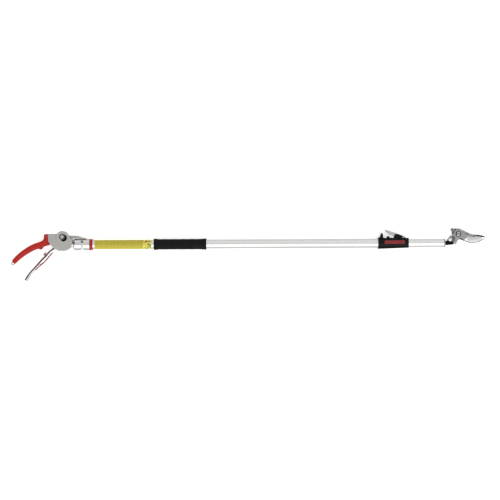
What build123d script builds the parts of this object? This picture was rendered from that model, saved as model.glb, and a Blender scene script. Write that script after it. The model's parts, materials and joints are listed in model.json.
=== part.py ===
from build123d import *
import os
from math import cos, radians, sin

os.makedirs("parts", exist_ok=True)

# Telescoping long-reach pruner, lying on its back. Sizes are in millimetres.
# The pole runs along X with the cutting head at +X. Y points from the squeeze lever
# towards the top of the tool, and Z is up, away from the flat back. The origin is under
# the middle of the whole tool, on the surface that it lies on.
# Profiles are drawn in the pole's own x and y, with y = 0 on the pole's axis.

# Driving dimensions
POLE_Y = 28.95           # pole axis from the middle of the tool's width
POLE_Z = 16.5            # pole axis above the flat back
OUTER_R = 12.0           # outer tube
OUTER_WALL = 1.0
INNER_R = 10.6           # inner tube
INNER_WALL = 1.0
RUN_GAP = 0.05           # radial clearance of pins and bushes
FREE_GAP = 0.3           # clearance between bodies that only pass each other
CORD_R = 0.9             # drive cord

# Handle
BOSS = (-489.4, 20.8)    # axle of the lever and the reel
BOSS_R = 15.3
BOSS_RISE = 3.0
SHELL_WALL = 2.2
SHELL_EDGE = 2.4         # radius round the rim of each shell
FACE_FRONT = 14.5        # front face above the pole axis
FACE_BACK = -POLE_Z
AXLE_R = 3.0
PIN_R = 1.5              # pins of the roller, pawl and latch, and the rivets
WASHER_R = 7.4
SCREW_HEAD_R = 5.0
WASHER_DEPTH = 2.2       # recess for the washer in the boss
NUT_R = 5.2
TONGUE_HALF = 4.0        # latch tongue between the shells
LATCH_PIVOT = (-473.0, 19.5)
SHELL_SCREWS = [(-520.5, 21.5), (-477.0, -7.0)]
SCREW_R = 1.2
SCREW_POST_R = 2.8
SCREW_CAP_R = 2.6
WINDOW = (-485.7, 17.8)  # crescent window beside the axle
WINDOW_R = 9.2
HANG_HOLE = (-621.0, -49.2)
HANG_HOLE_R = 2.2
TANG_HALF = 2.5          # half thickness of the tang
GRIP_HALF = 11.0
CHEEK_OUT = 9.0          # outer face of the lever's cheeks
SHEET = 1.5              # lever sheet
ROLLER = (-500.0, 5.2)
ROLLER_R = 5.9
REEL_R = 12.6
REEL_HALF = 6.0
DRUM_R, DRUM_HALF = 8.0, 4.4
PAWL_PIVOT = (-471.5, 8.5)

# Swivel and pole, as distances along the pole
SLEEVE_LEFT, SLEEVE_RIGHT = -461.5, -418.2
SLEEVE_R = 15.3
BUSH_R = 12.8
SLOT_LEFT, SLOT_RIGHT = -440.6, -434.0
SLOT_TOP, SLOT_END = 47.0, 225.0       # slot ends, degrees from the tool's top
PIN_ANGLE = 58.5                       # index pin at rest, degrees from the tool's top
INDEX_PIN_R = 2.1
BUSH_LEFT = -456.5
LATCH_HALF = 7.5                       # half width of the latch arm
COLLAR_LEFT, COLLAR_RIGHT = -417.9, -409.7
LABEL_LEFT, LABEL_RIGHT = -404.7, -254.8
FOAM_LEFT, FOAM_RIGHT = -248.9, -110.1
OUTER_LEFT, OUTER_RIGHT = -455.0, 385.0
INNER_LEFT, INNER_RIGHT = -405.0, 516.1

# Clamp
CLAMP_LEFT, CLAMP_RIGHT = 342.9, 422.9
CLAMP_HALF = POLE_Z
CLAMP_PIVOT = (407.6, 15.5)
CLAMP_PIN_R = 1.75
SHOE_WINDOW = (18.6, 9.2)              # opening for the brake shoe, under the pivot

# Head
HEAD = (555.2, 23.8)     # blade pivot
TAIL_R = 24.3            # blade pivot to cord pin
TAIL_ANGLE = 251.0       # direction of the tail when the blade is closed
BLADE_HALF = 1.5
HOOK_TOP, HOOK_BOTTOM = -1.8, -4.6
PLATE_BOTTOM = -9.0
BOLT_R = 3.0
BOLT_HEAD_R = 5.4
BOLT_HEAD = 3.6          # height of the bolt's head
FLANGE_R = 7.8
SAW_HOLES = [(538.6, 35.8), (547.6, 35.8)]
SAW_HOLE_R = 1.65
SAW_HOLE_DEPTH = 3.6
RIVETS = [(-9.2, 4.2), (8.6, 7.4)]     # from the blade pivot
SPRING_LUG = (527.0, 7.8)              # eye on the neck for the return spring
EYE_R, EYE_HOLE_R = 2.4, 0.9           # both spring eyes
LUG_HALF = 1.2
TAIL_PIN_R = 1.2
HOLD_SCREW_R = 1.0
HOLD_PLATE = 1.0         # thickness of the hold plate

POLE_AXIS = Axis((0, POLE_Y, POLE_Z), (1, 0, 0))
SHOE_PLANE = Plane(origin=(CLAMP_PIVOT[0], POLE_Y, POLE_Z), x_dir=(1, 0, 0), z_dir=(0, 1, 0))


def flat(height=0.0):
    """Plane parallel to the tool's back, at a height above the pole's axis."""
    return Plane(origin=(0, POLE_Y, POLE_Z + height))


def across(x):
    """Plane across the pole: local x points to the tool's top, local y away from its back."""
    return Plane(origin=(x, POLE_Y, POLE_Z), x_dir=(0, 1, 0), z_dir=(1, 0, 0))


def shifted(points, dx, dy):
    """The points moved by dx and dy."""
    return [(x + dx, y + dy) for x, y in points]


def from_head(points):
    """Points drawn from the blade pivot, in the pole's own x and y."""
    return shifted(points, *HEAD)


def ring_sector(inner_r, outer_r, start, end):
    """Face between two radii and two angles in degrees, about the sketch's origin."""
    with BuildLine() as edge:
        outer = CenterArc((0, 0), outer_r, start, end - start)
        inner = CenterArc((0, 0), inner_r, start, end - start)
        Line(outer @ 0, inner @ 0)
        Line(outer @ 1, inner @ 1)
    make_face(edge.edges())


def save(part, name):
    """Name the piece and write it to its own file."""
    part.label = name
    export_step(part, f"parts/{name}.step")


# ---------------------------------------------------------------- housing outlines

with BuildSketch() as housing_outline:
    with BuildLine():
        Polyline(
            (-465.4, -2.8), (-462.7, 1.5), (-462.7, 14.9), (-466.5, 16.3), (-469.6, 20.0),
            (-470.6, 24.8), (-503.0, 28.4), (-527.7, 28.5), (-526.9, 10.1), (-521.1, 0.6),
            (-514.2, -7.4), (-501.0, -14.7),
        )
        ThreePointArc((-501.0, -14.7), (-489.5, -17.2), (-465.4, -2.8))
    make_face()
    with Locations(BOSS):
        Circle(BOSS_R)

with BuildSketch() as housing_cavity:
    add(housing_outline.sketch)
    offset(amount=-SHELL_WALL, kind=Kind.INTERSECTION)

# Where the lever leaves the housing, over its whole swing
with BuildSketch() as lever_mouth:
    Polygon(
        (-516.0, -3.0), (-520.0, -9.0), (-505.0, -22.0), (-483.0, -22.0), (-483.0, -13.6),
        (-499.0, -11.0), align=None,
    )

with BuildSketch() as tang_outline:
    with BuildLine():
        Polyline((-529.0, 22.0), (-510.0, 24.0), (-510.0, 14.0), (-526.0, 5.0), (-541.0, -1.2))
        Spline((-541.0, -1.2), (-556.0, -6.5), (-574.0, -15.0), (-590.3, -25.2),
               (-604.6, -36.0), (-617.8, -52.2))
        Line((-617.8, -52.2), (-624.8, -46.2))
        Spline((-624.8, -46.2), (-614.0, -35.4), (-604.6, -26.4), (-594.5, -18.4),
               (-580.5, -9.0), (-565.0, -1.0), (-541.0, 7.6))
        Line((-541.0, 7.6), (-529.0, 22.0))
    make_face()
    with Locations(HANG_HOLE):
        Circle(4.6)
        Circle(HANG_HOLE_R, mode=Mode.SUBTRACT)
    with Locations(SHELL_SCREWS[0]):
        Circle(1.8, mode=Mode.SUBTRACT)


def hollow_shell(side, face):
    """Cavity and openings that both housing shells share; side is 1 in front, -1 at the back."""
    cavity = housing_cavity.sketch.moved(Location(flat()))
    extrude(cavity, amount=side * (abs(face) - SHELL_WALL), mode=Mode.SUBTRACT)
    mouth = lever_mouth.sketch.moved(Location(flat()))
    extrude(mouth, amount=side * (CHEEK_OUT + 2 * FREE_GAP), mode=Mode.SUBTRACT)
    with BuildSketch() as tang_slot:
        Polygon((-531.0, 26.0), (-531.0, -2.0), (-518.0, -2.0), (-520.0, 26.0), align=None)
    extrude(tang_slot.sketch.moved(Location(flat())), amount=side * TANG_HALF,
            mode=Mode.SUBTRACT)
    with BuildSketch() as tongue_slot:
        Polygon((-478.0, 24.6), (-478.0, 15.6), (-464.0, 14.9), (-466.0, 26.0), align=None)
    extrude(tongue_slot.sketch.moved(Location(flat())), amount=side * (TONGUE_HALF + 0.4),
            mode=Mode.SUBTRACT)
    with BuildSketch(across(-471.0)) as spigot_hole:
        Circle(7.0)
    extrude(spigot_hole.sketch, amount=10.0, mode=Mode.SUBTRACT)


# ---------------------------------------------------------------- handle

with BuildPart() as housing_front:
    with BuildSketch(flat()):
        add(housing_outline.sketch)
    extrude(amount=FACE_FRONT)
    fillet(housing_front.edges().group_by(Axis.Z)[-1], SHELL_EDGE)
    with BuildSketch(flat(FACE_FRONT - SHELL_EDGE - 1.0)):
        with Locations(BOSS):
            Circle(BOSS_R)
    extrude(amount=BOSS_RISE + SHELL_EDGE + 1.0)
    fillet(housing_front.edges().group_by(Axis.Z)[-1], 1.0)
    hollow_shell(1, FACE_FRONT)
    with BuildSketch(flat(FACE_FRONT + BOSS_RISE)):
        with Locations(BOSS):
            Circle(WASHER_R + 0.2)
    extrude(amount=-WASHER_DEPTH, mode=Mode.SUBTRACT)
    with BuildSketch(flat(FACE_FRONT + BOSS_RISE)):
        with Locations(WINDOW):
            Circle(WINDOW_R)
        with Locations(BOSS):
            Circle(WASHER_R + 0.2, mode=Mode.SUBTRACT)
    extrude(amount=-9.0, mode=Mode.SUBTRACT)
    with BuildSketch(flat(1.0)):
        with Locations(SHELL_SCREWS[1]):
            Circle(SCREW_POST_R)
    extrude(amount=FACE_FRONT - 2.0)
    with BuildSketch(flat(TANG_HALF)):
        with Locations(SHELL_SCREWS[0]):
            Circle(SCREW_POST_R)
    extrude(amount=FACE_FRONT - TANG_HALF - 1.0)
    with BuildSketch(flat(-1.0)):
        with Locations(*SHELL_SCREWS):
            Circle(SCREW_R)
    extrude(amount=12.0, mode=Mode.SUBTRACT)
    with BuildSketch(flat(-1.0)):
        with Locations(BOSS):
            Circle(AXLE_R)
    extrude(amount=30.0, mode=Mode.SUBTRACT)
    with BuildSketch(flat()):
        with Locations(LATCH_PIVOT, PAWL_PIVOT):
            Circle(PIN_R)
    extrude(amount=FACE_FRONT - SHELL_WALL + 1.0, mode=Mode.SUBTRACT)
save(housing_front.part, "housing_front")

with BuildPart() as housing_back:
    with BuildSketch(flat()):
        add(housing_outline.sketch)
    extrude(amount=FACE_BACK)
    fillet(housing_back.edges().group_by(Axis.Z)[0], SHELL_EDGE)
    hollow_shell(-1, FACE_BACK)
    with BuildSketch(flat(-1.0)):
        with Locations(SHELL_SCREWS[1]):
            Circle(SCREW_POST_R)
    extrude(amount=FACE_BACK + 2.0)
    with BuildSketch(flat(-TANG_HALF)):
        with Locations(SHELL_SCREWS[0]):
            Circle(SCREW_POST_R)
    extrude(amount=FACE_BACK + TANG_HALF + 1.0)
    with BuildSketch(flat(1.0)):
        with Locations(*SHELL_SCREWS):
            Circle(SCREW_R + FREE_GAP)
    extrude(amount=-30.0, mode=Mode.SUBTRACT)
    with BuildSketch(flat(FACE_BACK)):
        with Locations(*SHELL_SCREWS):
            Circle(SCREW_CAP_R + 0.1)
    extrude(amount=1.8, mode=Mode.SUBTRACT)
    with BuildSketch(flat(FACE_BACK)):
        with Locations(BOSS):
            RegularPolygon(NUT_R + 0.1, 6)
    extrude(amount=1.6, mode=Mode.SUBTRACT)
    with BuildSketch(flat(1.0)):
        with Locations(BOSS):
            Circle(AXLE_R)
    extrude(amount=-30.0, mode=Mode.SUBTRACT)
    with BuildSketch(flat()):
        with Locations(LATCH_PIVOT, PAWL_PIVOT):
            Circle(PIN_R)
    extrude(amount=FACE_BACK + SHELL_WALL - 1.0, mode=Mode.SUBTRACT)
save(housing_back.part, "housing_back")

with BuildPart() as housing_screws:
    with BuildSketch(flat(FACE_BACK + 0.2)):
        with Locations(*SHELL_SCREWS):
            Circle(SCREW_CAP_R)
    extrude(amount=1.6)
    with BuildSketch(flat(FACE_BACK + 1.8)):
        with Locations(*SHELL_SCREWS):
            Circle(SCREW_R)
    extrude(amount=25.0)
    with BuildSketch(flat(FACE_BACK + 0.2)):
        with Locations(*SHELL_SCREWS):
            Rectangle(3.2, 0.8)
            Rectangle(0.8, 3.2)
    extrude(amount=0.9, mode=Mode.SUBTRACT)
save(housing_screws.part, "housing_screws")

with BuildPart() as grip_tang:
    with BuildSketch(flat(-TANG_HALF)):
        add(tang_outline.sketch)
    extrude(amount=2 * TANG_HALF)
save(grip_tang.part, "grip_tang")

with BuildPart() as fixed_grip:
    with BuildSketch(flat(-GRIP_HALF)):
        with BuildLine():
            Polyline((-540.9, 12.1), (-538.4, 18.1), (-538.6, 25.8), (-536.2, 28.6),
                     (-528.0, 28.6), (-527.3, 10.0), (-521.6, 0.4), (-526.5, -1.2),
                     (-540.2, -5.0), (-542.0, -9.6), (-547.6, -13.2), (-553.9, -10.1))
            Spline((-553.9, -10.1), (-574.2, -19.2), (-590.3, -29.2), (-604.6, -40.2),
                   (-614.8, -50.4))
            Line((-614.8, -50.4), (-623.9, -42.6))
            Spline((-623.9, -42.6), (-614.6, -31.2), (-604.6, -22.0), (-594.3, -14.1),
                   (-580.3, -4.9), (-564.2, 3.1), (-549.9, 8.1), (-540.9, 12.1))
        make_face()
    extrude(amount=2 * GRIP_HALF)
    chamfer(fixed_grip.edges().filter_by(Plane.XY), 2.4)
    add(grip_tang.part, mode=Mode.SUBTRACT)
save(fixed_grip.part, "fixed_grip")

AXLE_SEAT = FACE_FRONT + BOSS_RISE - WASHER_DEPTH + 0.8
with BuildPart() as axle_screw:
    with BuildSketch(flat(AXLE_SEAT)):
        with Locations(BOSS):
            Circle(SCREW_HEAD_R)
    extrude(amount=1.9)
    fillet(axle_screw.edges().group_by(Axis.Z)[-1], 0.6)
    with BuildSketch(flat(AXLE_SEAT + 1.9)):
        with Locations(BOSS):
            RegularPolygon(2.0, 6)
    extrude(amount=-1.2, mode=Mode.SUBTRACT)
    with BuildSketch(flat(AXLE_SEAT)):
        with Locations(BOSS):
            Circle(AXLE_R)
    extrude(amount=-(AXLE_SEAT + POLE_Z - 0.6))
save(axle_screw.part, "axle_screw")

with BuildPart() as axle_washer:
    with BuildSketch(flat(FACE_FRONT + BOSS_RISE - WASHER_DEPTH)):
        with Locations(BOSS):
            Circle(WASHER_R)
            Circle(AXLE_R, mode=Mode.SUBTRACT)
    extrude(amount=0.8)
save(axle_washer.part, "axle_washer")

with BuildPart() as axle_nut:
    with BuildSketch(flat(FACE_BACK + 0.2)):
        with Locations(BOSS):
            RegularPolygon(NUT_R, 6)
            Circle(AXLE_R, mode=Mode.SUBTRACT)
    extrude(amount=1.4)
save(axle_nut.part, "axle_nut")

# Squeeze lever: two cheeks with pivot eyes, joined by a web on the finger side
LEVER_TOP = [(-514.2, -7.9), (-520.9, -13.4), (-527.2, -18.6), (-533.5, -26.2),
             (-541.5, -33.6), (-548.9, -41.5), (-556.5, -50.2), (-566.5, -61.0),
             (-577.6, -73.2), (-585.0, -83.2), (-591.1, -93.3)]
LEVER_LOW = [(-502.5, -17.6), (-513.6, -19.2), (-521.0, -25.4), (-526.2, -32.0),
             (-532.6, -39.6), (-541.6, -48.4), (-552.2, -57.2), (-562.2, -66.2),
             (-570.6, -74.8), (-577.0, -84.4), (-583.2, -96.6)]
WEB_SHIFT = (-1.0, 1.1)

with BuildPart() as trigger_lever:
    for side in (-1, 1):
        with BuildSketch(flat(side * CHEEK_OUT)):
            with BuildLine():
                Polyline((-496.4, 19.2), LEVER_TOP[0])
                Spline(*LEVER_TOP)
                Line(LEVER_TOP[-1], LEVER_LOW[-1])
                Spline(*reversed(LEVER_LOW))
                Polyline(LEVER_LOW[0], (-500.3, -14.5), (-490.4, 13.6), (-496.4, 19.2))
            make_face()
            with Locations(BOSS):
                Circle(WASHER_R)
                Circle(AXLE_R + RUN_GAP, mode=Mode.SUBTRACT)
            with Locations(ROLLER):
                Circle(PIN_R, mode=Mode.SUBTRACT)
        extrude(amount=-side * SHEET)
    with BuildSketch(flat(-CHEEK_OUT)):
        with BuildLine():
            Spline(*LEVER_LOW)
            Line(LEVER_LOW[-1], shifted(LEVER_LOW, *WEB_SHIFT)[-1])
            Spline(*reversed(shifted(LEVER_LOW, *WEB_SHIFT)))
            Line(shifted(LEVER_LOW, *WEB_SHIFT)[0], LEVER_LOW[0])
        make_face()
    extrude(amount=2 * CHEEK_OUT)
save(trigger_lever.part, "trigger_lever")

PAD_LINE = LEVER_LOW[1:8]
with BuildPart() as finger_pad:
    with BuildSketch(flat(-CHEEK_OUT + 0.5)):
        with BuildLine():
            Spline(*PAD_LINE)
            Line(PAD_LINE[-1], shifted(PAD_LINE, 0.9, -1.0)[-1])
            Spline(*reversed(shifted(PAD_LINE, 0.9, -1.0)))
            Line(shifted(PAD_LINE, 0.9, -1.0)[0], PAD_LINE[0])
        make_face()
    extrude(amount=2 * CHEEK_OUT - 1.0)
    split(bisect_by=Plane(origin=(-516.0, 0, 0), z_dir=(-1, 0, 0)), keep=Keep.TOP)
    add(trigger_lever.part, mode=Mode.SUBTRACT)
save(finger_pad.part, "finger_pad")

# Thumb catch: a block between the cheeks, a stem and a bar outside
LOCK_DIR = 49.0          # direction of its travel, degrees
with BuildPart() as lever_lock:
    with BuildSketch(flat(-5.0)):
        with Locations(Location((-533.6, -29.4), LOCK_DIR)):
            Rectangle(6.5, 3.0)
        with Locations(Location((-535.2, -26.6), LOCK_DIR)):
            Rectangle(3.0, 5.5)
        with Locations(Location((-536.4, -23.9), LOCK_DIR)):
            SlotOverall(9.4, 2.6)
    extrude(amount=10.0)
save(lever_lock.part, "lever_lock")

with BuildPart() as pull_roller:
    with BuildSketch(Plane(origin=(ROLLER[0], ROLLER[1] + POLE_Y, POLE_Z),
                           x_dir=(1, 0, 0), z_dir=(0, -1, 0))):
        Polygon((PIN_R + RUN_GAP, -3.0), (ROLLER_R, -3.0), (ROLLER_R, -1.6), (4.0, -0.6),
                (4.0, 0.6), (ROLLER_R, 1.6), (ROLLER_R, 3.0), (PIN_R + RUN_GAP, 3.0),
                align=None)
    revolve(axis=Axis((ROLLER[0], ROLLER[1] + POLE_Y, POLE_Z), (0, 0, 1)))
save(pull_roller.part, "pull_roller")

with BuildPart() as roller_pin:
    with BuildSketch(flat(-CHEEK_OUT - 0.6)):
        with Locations(ROLLER):
            Circle(PIN_R)
    extrude(amount=2 * CHEEK_OUT + 1.2)
save(roller_pin.part, "roller_pin")

BIGHT_R = 5.2            # cord's middle line round the roller
with BuildPart() as cord_loop:
    with BuildLine(flat()):
        Line((ROLLER[0] + 2.5, 0.0), (ROLLER[0], 0.0))
        ThreePointArc((ROLLER[0], 0.0), (ROLLER[0] - BIGHT_R, BIGHT_R),
                      (ROLLER[0], 2 * BIGHT_R))
        Line((ROLLER[0], 2 * BIGHT_R), (ROLLER[0] + 2.0, 2 * BIGHT_R))
    with BuildSketch(Plane(origin=(ROLLER[0] + 2.5, POLE_Y, POLE_Z), z_dir=(-1, 0, 0))):
        Circle(CORD_R)
    sweep()
save(cord_loop.part, "cord_loop")

with BuildPart() as lever_spring:
    with BuildLine() as coil:
        Helix(pitch=1.0, height=2.0, radius=5.6,
              center=(BOSS[0], BOSS[1] + POLE_Y, POLE_Z + CHEEK_OUT + 0.7))
    with BuildSketch(Plane(origin=coil.line @ 0, z_dir=coil.line % 0)):
        Circle(0.4)
    sweep(is_frenet=True)
save(lever_spring.part, "lever_spring")

# Take-up reel: two flanges, a drum, ratchet notches and a pocket for its spiral spring
POCKET_R = 7.0
with BuildPart() as cord_reel:
    for low, high, radius in ((-REEL_HALF, -DRUM_HALF, REEL_R), (-DRUM_HALF, DRUM_HALF, DRUM_R),
                              (DRUM_HALF, REEL_HALF, REEL_R)):
        with BuildSketch(flat(low)):
            with Locations(BOSS):
                Circle(radius)
                Circle(AXLE_R + RUN_GAP, mode=Mode.SUBTRACT)
        extrude(amount=high - low)
    with BuildSketch(flat(REEL_HALF)):
        with Locations(BOSS):
            Circle(POCKET_R)
    extrude(amount=-REEL_HALF - 3.0, mode=Mode.SUBTRACT)
    with BuildSketch(flat(-REEL_HALF)):
        with Locations(BOSS):
            with PolarLocations(REEL_R, 16):
                Circle(1.0)
    extrude(amount=1.6, mode=Mode.SUBTRACT)
save(cord_reel.part, "cord_reel")

# Flat spiral of half turns, each one wider than the last
with BuildPart() as reel_spring:
    with BuildSketch(flat(-2.4)):
        with BuildLine() as coil:
            x, sign, radius = BOSS[0] + 3.6, 1, 3.6
            for _ in range(7):
                end = x - sign * 2 * radius
                ThreePointArc((x, BOSS[1]), ((x + end) / 2, BOSS[1] + sign * radius),
                              (end, BOSS[1]))
                x, sign, radius = end, -sign, radius + 0.42
        trace(line_width=0.35)
    extrude(amount=6.4)
save(reel_spring.part, "reel_spring")

with BuildPart() as reel_pawl:
    with BuildSketch(flat(-REEL_HALF)):
        Polygon((-473.6, 8.0), (-471.5, 6.1), (-469.2, 8.5), (-471.0, 11.0), (-474.4, 13.6),
                (-476.2, 14.2), (-475.4, 12.0), align=None)
        with Locations(PAWL_PIVOT):
            Circle(2.6)
            Circle(PIN_R + RUN_GAP, mode=Mode.SUBTRACT)
    extrude(amount=3.0)
save(reel_pawl.part, "reel_pawl")

# Both hinge pins reach a little way into the two shells
PIN_BACK = FACE_BACK + SHELL_WALL - 0.9
PIN_FRONT = FACE_FRONT - SHELL_WALL + 0.9
for name, place in (("pawl_pin", PAWL_PIVOT), ("latch_pin", LATCH_PIVOT)):
    with BuildPart() as hinge_pin:
        with BuildSketch(flat(PIN_BACK)):
            with Locations(place):
                Circle(PIN_R)
        extrude(amount=PIN_FRONT - PIN_BACK)
    save(hinge_pin.part, name)

# ---------------------------------------------------------------- swivel

with BuildPart() as swivel_sleeve:
    with BuildSketch(flat()):
        with BuildLine():
            Polyline((-470.0, 3.0), (-470.0, 7.0), (SLEEVE_LEFT, 7.0), (SLEEVE_LEFT, 9.5))
            RadiusArc((SLEEVE_LEFT, 9.5), (-455.7, SLEEVE_R), 5.8)
            Polyline((-455.7, SLEEVE_R), (SLEEVE_RIGHT, SLEEVE_R),
                     (SLEEVE_RIGHT, BUSH_R + RUN_GAP), (-457.5, BUSH_R + RUN_GAP),
                     (-457.5, 3.0), (-470.0, 3.0))
        make_face()
    revolve(axis=POLE_AXIS)
    with BuildSketch(across(SLOT_LEFT)):
        ring_sector(11.0, 17.0, SLOT_TOP, SLOT_END)
    extrude(amount=SLOT_RIGHT - SLOT_LEFT, mode=Mode.SUBTRACT)
    with BuildSketch(across(-440.0)):
        with Locations((15.0, 0)):
            Rectangle(6.0, 5.2)
    extrude(amount=5.6, mode=Mode.SUBTRACT)
save(swivel_sleeve.part, "swivel_sleeve")

PIN_X = (SLOT_LEFT + SLOT_RIGHT) / 2
PIN_DIR = (0, cos(radians(PIN_ANGLE)), sin(radians(PIN_ANGLE)))
PIN_PLANE = Plane(origin=(PIN_X, POLE_Y, POLE_Z), x_dir=(1, 0, 0), z_dir=PIN_DIR)

with BuildPart() as swivel_bush:
    with BuildSketch(across(BUSH_LEFT)):
        Circle(BUSH_R)
        Circle(OUTER_R, mode=Mode.SUBTRACT)
    extrude(amount=SLEEVE_RIGHT - BUSH_LEFT)
    with BuildSketch(PIN_PLANE):
        Circle(INDEX_PIN_R)
    extrude(amount=20.0, mode=Mode.SUBTRACT)
save(swivel_bush.part, "swivel_bush")

with BuildPart() as index_pin:
    with BuildSketch(PIN_PLANE.offset(OUTER_R)):
        Circle(INDEX_PIN_R)
    extrude(amount=2.6)
    with BuildSketch(PIN_PLANE.offset(OUTER_R + 2.6)):
        Rectangle(3.2, 0.7)
    extrude(amount=-0.8, mode=Mode.SUBTRACT)
    with BuildSketch(across(BUSH_LEFT)):
        Circle(OUTER_R)
    extrude(amount=40.0, mode=Mode.SUBTRACT)
save(index_pin.part, "index_pin")

with BuildPart() as latch_arm:
    with BuildSketch(flat(-LATCH_HALF)):
        Polygon((-469.7, 24.4), (-452.0, 23.7), (-444.0, 21.8), (-438.4, 20.3), (-437.8, 18.4),
                (-434.0, 17.6), (-433.4, 18.9), (-426.0, 16.9), (-426.0, SLEEVE_R + 0.4),
                (-462.0, SLEEVE_R + 0.4), (-465.6, 17.2), (-468.6, 20.3), align=None)
    extrude(amount=2 * LATCH_HALF)
    with BuildSketch(flat(-LATCH_HALF)):
        with Locations((-455.0, 20.2)):
            SlotOverall(14.0, 3.6)
    extrude(amount=0.7, mode=Mode.SUBTRACT)
    with BuildSketch(flat(LATCH_HALF)):
        with Locations((-455.0, 20.2)):
            SlotOverall(14.0, 3.6)
    extrude(amount=-0.7, mode=Mode.SUBTRACT)
    with BuildSketch(flat(-TONGUE_HALF)):
        Polygon((-473.0, 22.2), (-473.0, 16.8), (-464.0, 16.8), (-464.0, 22.2), align=None)
        with Locations(LATCH_PIVOT):
            Circle(2.7)
    extrude(amount=2 * TONGUE_HALF)
    with BuildSketch(flat(-2.0)):
        Polygon((-439.3, 16.5), (-439.3, 13.3), (-435.1, 13.3), (-435.1, 16.5), align=None)
    extrude(amount=4.0)
    with BuildSketch(flat(-5.0)):
        with Locations(LATCH_PIVOT):
            Circle(PIN_R + RUN_GAP)
    extrude(amount=10.0, mode=Mode.SUBTRACT)
save(latch_arm.part, "latch_arm")

with BuildPart() as collar:
    with BuildSketch(flat()):
        Polygon((COLLAR_LEFT, OUTER_R), (COLLAR_LEFT, 15.1), (COLLAR_LEFT + 0.8, 15.7),
                (COLLAR_LEFT + 2.2, 15.7), (COLLAR_LEFT + 3.4, 13.7), (COLLAR_RIGHT - 3.4, 13.7),
                (COLLAR_RIGHT - 2.2, 15.7), (COLLAR_RIGHT - 0.8, 15.7), (COLLAR_RIGHT, 15.1),
                (COLLAR_RIGHT, OUTER_R), align=None)
    revolve(axis=POLE_AXIS)
save(collar.part, "collar")

# ---------------------------------------------------------------- pole

# Plain rings and tubes: name, left end, right end, outer radius, inner radius
for name, left, right, outer_r, inner_r in (
    ("outer_tube", OUTER_LEFT, OUTER_RIGHT, OUTER_R, OUTER_R - OUTER_WALL),
    ("label_band", LABEL_LEFT, LABEL_RIGHT, OUTER_R + 0.3, OUTER_R),
    ("inner_tube", INNER_LEFT, INNER_RIGHT, INNER_R, INNER_R - INNER_WALL),
    ("guide_bush", OUTER_RIGHT + 2.0, CLAMP_RIGHT - 1.5, OUTER_R, INNER_R + RUN_GAP),
):
    with BuildPart() as tube:
        with BuildSketch(across(left)):
            Circle(outer_r)
            Circle(inner_r, mode=Mode.SUBTRACT)
        extrude(amount=right - left)
        if name == "guide_bush":
            with BuildSketch(SHOE_PLANE):
                Rectangle(*SHOE_WINDOW)
            extrude(amount=CLAMP_HALF, mode=Mode.SUBTRACT)
    save(tube.part, name)

with BuildPart() as foam_grip:
    with BuildSketch(flat()):
        Polygon((FOAM_LEFT, OUTER_R), (FOAM_LEFT, 14.6), (FOAM_LEFT + 1.5, 15.3),
                (FOAM_LEFT + 8.0, 15.1), (FOAM_LEFT + 14.0, 13.9), (FOAM_RIGHT - 14.0, 13.9),
                (FOAM_RIGHT - 8.0, 15.1), (FOAM_RIGHT - 1.5, 15.3), (FOAM_RIGHT, 14.6),
                (FOAM_RIGHT, OUTER_R), align=None)
    revolve(axis=POLE_AXIS)
save(foam_grip.part, "foam_grip")

with BuildPart() as tube_plug:
    with BuildSketch(flat()):
        Polygon((INNER_LEFT - 8.0, 1.6), (INNER_LEFT - 8.0, 10.2), (INNER_LEFT - 7.2, 10.92),
                (INNER_LEFT, 10.92), (INNER_LEFT, INNER_R - INNER_WALL),
                (INNER_LEFT + 14.0, INNER_R - INNER_WALL), (INNER_LEFT + 14.0, 1.6), align=None)
    revolve(axis=POLE_AXIS)
save(tube_plug.part, "tube_plug")

with BuildPart() as end_ring:
    with BuildSketch(flat()):
        Polygon((INNER_RIGHT - 16.0, 4.5), (INNER_RIGHT - 16.0, INNER_R - INNER_WALL),
                (INNER_RIGHT, INNER_R - INNER_WALL), (INNER_RIGHT, INNER_R),
                (INNER_RIGHT + 3.2, INNER_R), (INNER_RIGHT + 4.0, INNER_R - 0.8),
                (INNER_RIGHT + 4.0, 4.5), align=None)
    revolve(axis=POLE_AXIS)
save(end_ring.part, "end_ring")

# ---------------------------------------------------------------- clamp

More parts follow.
